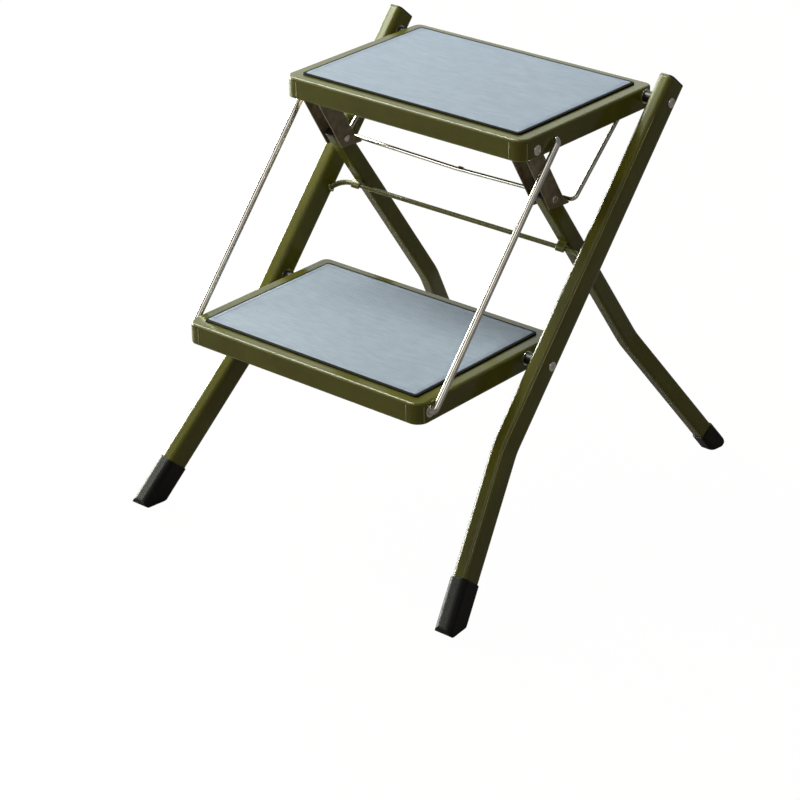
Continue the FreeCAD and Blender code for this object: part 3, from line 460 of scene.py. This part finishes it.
# The butt weld at the middle of the lock wire's cross run
wireJoint = {"at": 0.006, "half": 0.006, "radius": 0.0032, "rings": 9, "wireThick": 0.0049}
wire = [v.co for v in frame["nodes"]["lock_wire"].data.vertices]
lowest = min(p.z for p in wire)
run = [p for p in wire if p.z < lowest + wireJoint["wireThick"]]
middleY, middleZ = ((min(p[i] for p in run) + max(p[i] for p in run)) / 2 for i in (1, 2))
shares = [2 * i / (wireJoint["rings"] - 1) - 1 for i in range(wireJoint["rings"])]
work = bmesh.new()
beadAlong(work, [
    Vector((wireJoint["at"] + wireJoint["half"] * share, middleY, middleZ)) for share in shares
], wireJoint["radius"], corners=16)
newPiece("lock_wire_joint", meshFrom("lock_wire_joint", work, 60), "chrome_wire", "lock_wire_body")


# Weld beads where the tie bar meets the front legs, in the lighter seam paint as a painted highlight
weld = {
    "barRadius": 0.0044, "bead": 0.0009, "lumps": 11, "lumpSize": 0.18, "uneven": 0.08, "around": 36,
    "profile": ((1.9, -0.2), (1.6, 0.7), (0.9, 1.3), (0.1, 1.5), (-0.3, 0.2)),  # out and along, in beads
    "endSlice": 0.00005, "from": 0.02, "to": 0.004,
}


def weldBead(name, centre, axis, body):
    across = axis.cross(Vector((0, 0, 1))).normalized()
    up = across.cross(axis)
    lumps = random.Random(7)
    work = bmesh.new()
    loops = []
    turns = [2 * math.pi * k / weld["around"] for k in range(weld["around"])]
    size = [1 + weld["lumpSize"] * math.sin(weld["lumps"] * turn) for turn in turns]
    size = [s + lumps.uniform(-weld["uneven"], weld["uneven"]) for s in size]
    for outward, forward in weld["profile"]:
        loops.append([
            centre
            + (across * math.cos(turn) + up * math.sin(turn))
            * (weld["barRadius"] + weld["bead"] * outward * size[k])
            - axis * (weld["bead"] * forward * size[k])
            for k, turn in enumerate(turns)
        ])
    bridge(work, loops, closeFirst=False, closeLast=False)
    newPiece(name, meshFrom(name, work, 70), "olive_paint", body, seamHighlightPaint)


low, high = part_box("tie_bar")
barMesh = frame["nodes"]["tie_bar"].data
for side, sign in sides.items():
    spots = [(v.co, high.x - v.co.x * sign) for v in barMesh.vertices]  # and how far from the end
    ring = [spot for spot, away in spots if away < weld["endSlice"]]
    inner = [spot for spot, away in spots if weld["to"] < away < weld["from"]]
    centre = sum(ring, Vector()) / len(ring)
    axis = (centre - sum(inner, Vector()) / len(inner)).normalized()
    weldBead(f"tie_bar_weld_{side}", centre, axis, "front_frame")
print("welds made")


# Camera at the photograph's place
camera = {
    "azimuth": 40.878, "elevation": 25.774, "roll": -0.861, "focal": 2743.88, "distance": 3.2687,
    "target": (0.00744, -0.058887, 0.15554), "centre": (416.36, 381.98), "pixels": 800,
}


def makeCamera():
    azimuth, elevation = math.radians(camera["azimuth"]), math.radians(camera["elevation"])
    back = Vector((
        math.sin(azimuth) * math.cos(elevation), -math.cos(azimuth) * math.cos(elevation),
        math.sin(elevation),
    ))
    right = Vector((math.cos(azimuth), math.sin(azimuth), 0))
    up = back.cross(right)
    turn = math.radians(camera["roll"])
    rolledRight = right * math.cos(turn) + up * math.sin(turn)
    rolledUp = up * math.cos(turn) - right * math.sin(turn)
    data = bpy.data.cameras.new("photoCamera")
    data.sensor_width = 36
    data.lens = camera["focal"] * data.sensor_width / camera["pixels"]
    data.shift_x = 0.5 - camera["centre"][0] / camera["pixels"]
    data.shift_y = camera["centre"][1] / camera["pixels"] - 0.5
    data.clip_start = 0.1
    data.clip_end = 60
    thing = bpy.data.objects.new("photoCamera", data)
    bpy.context.scene.collection.objects.link(thing)
    matrix = Matrix((rolledRight, rolledUp, back)).transposed().to_4x4()
    matrix.translation = Vector(camera["target"]) + back * camera["distance"]
    thing.matrix_world = matrix
    bpy.context.scene.camera = thing


makeCamera()


# Floor, backdrop and light
studio = {
    "floorColour": "#6e665b", "floorRough": 0.6, "floorHalf": 12, "floorDrop": 0.0005,
    "floorSeen": 0.93, "floorWhite": 1.06, "floorInMetal": 0.1,
    "roomLight": 0.12, "roomInMetal": 0.10,
}


def raysThatSee(tree, glossy):
    # 1 for camera rays and rays through glass, and a share for reflections
    path = tree.nodes.new("ShaderNodeLightPath")
    mirrored = addNode(
        tree, "ShaderNodeMath", {0: path.outputs["Is Glossy Ray"], 1: glossy}, operation="MULTIPLY",
    )
    both = addNode(
        tree, "ShaderNodeMath", {0: path.outputs["Is Camera Ray"], 1: mirrored.outputs[0]},
        operation="MAXIMUM",
    )
    return addNode(
        tree, "ShaderNodeMath", {0: both.outputs[0], 1: path.outputs["Is Transmission Ray"]},
        operation="MAXIMUM",
    ).outputs[0]


def makeFloor():
    work = bmesh.new()
    bmesh.ops.create_grid(work, x_segments=1, y_segments=1, size=studio["floorHalf"])
    mesh = meshFrom("floor", work)
    material, tree, shader, coords = newMaterial("paleFloor")
    shader.inputs["Base Color"].default_value = linear(studio["floorColour"])
    shader.inputs["Roughness"].default_value = studio["floorRough"]
    glow = addNode(tree, "ShaderNodeEmission", Color=(1, 1, 1, 1), Strength=studio["floorWhite"])
    seen = addNode(
        tree, "ShaderNodeMath", {0: raysThatSee(tree, studio["floorInMetal"]), 1: studio["floorSeen"]},
        operation="MULTIPLY",
    )
    mix = addNode(
        tree, "ShaderNodeMixShader", {0: seen.outputs[0], 1: shader.outputs[0], 2: glow.outputs[0]},
    )
    output = next(node for node in tree.nodes if node.type == "OUTPUT_MATERIAL")
    tree.links.new(mix.outputs[0], output.inputs[0])
    mesh.materials.append(material)
    thing = bpy.data.objects.new("floor", mesh)
    thing.location.z = -studio["floorDrop"]
    bpy.context.scene.collection.objects.link(thing)


def makeWorld():
    world = bpy.data.worlds.new("studio")
    world.use_nodes = True
    tree = world.node_tree
    tree.nodes.clear()
    output = tree.nodes.new("ShaderNodeOutputWorld")
    room = addNode(tree, "ShaderNodeBackground", Color=(1, 1, 1, 1), Strength=studio["roomLight"])
    white = addNode(tree, "ShaderNodeBackground", Color=(1, 1, 1, 1), Strength=1.0)
    mix = addNode(
        tree, "ShaderNodeMixShader",
        {0: raysThatSee(tree, studio["roomInMetal"]), 1: room.outputs[0], 2: white.outputs[0]},
    )
    tree.links.new(mix.outputs[0], output.inputs[0])
    bpy.context.scene.world = world


lamps = {
    # name: (position, aimed at, width, height, watts, colour)
    "windowBehind": ((-2.4, 3.2, 2.5), (0, 0, 0.4), 4.2, 3.2, 50, "#f0f7fa"),
    "windowLow": ((-3.4, 1.3, 0.9), (0, 0, 0.3), 1.2, 1.7, 45, "#fffff0"),
    "skylight": ((-1.9, -0.1, 2.4), (0, -0.1, 0.3), 0.7, 2.9, 80, "#fdfff2"),
    "softLeft": ((-2.1, -2.3, 1.0), (0, 0, 0.3), 1.0, 1.2, 16, "#fffdf4"),
    "roomFront": ((0.4, -2.1, 2.4), (0, 0, 0.3), 1.5, 1.0, 8, "#fff8ec"),
    "roomRight": ((2.7, -0.8, 1.3), (0, 0, 0.3), 0.5, 1.1, 2.0, "#fff4e4"),
}
# white cards that show up only as reflections: high for the front edges, and low on the left
cards = {
    "edgeCard": ((-1.77, -0.5, 2.75), (0, 0, 0.3), 1.35, 1.35, 115, "#f8ffe6"),
    "lowCard": ((-1.9, -0.15, 0.34), (0, 0, 0.3), 1.7, 0.66, 110, "#fbfff2"),
}


def makeLamps():
    for name, (place, aim, width, height, watts, colour) in (lamps | cards).items():
        data = bpy.data.lights.new(name, "AREA")
        data.shape = "RECTANGLE"
        data.size = width
        data.size_y = height
        data.energy = watts
        data.color = linear(colour)[:3]
        thing = bpy.data.objects.new(name, data)
        bpy.context.scene.collection.objects.link(thing)
        thing.location = place
        thing.rotation_euler = (Vector(place) - Vector(aim)).to_track_quat("Z", "Y").to_euler()
        thing.visible_camera = False
        thing.visible_diffuse = name in lamps


makeFloor()
makeWorld()
makeLamps()
bpy.context.scene.view_settings.view_transform = "Standard"
print("camera, floor and light made")
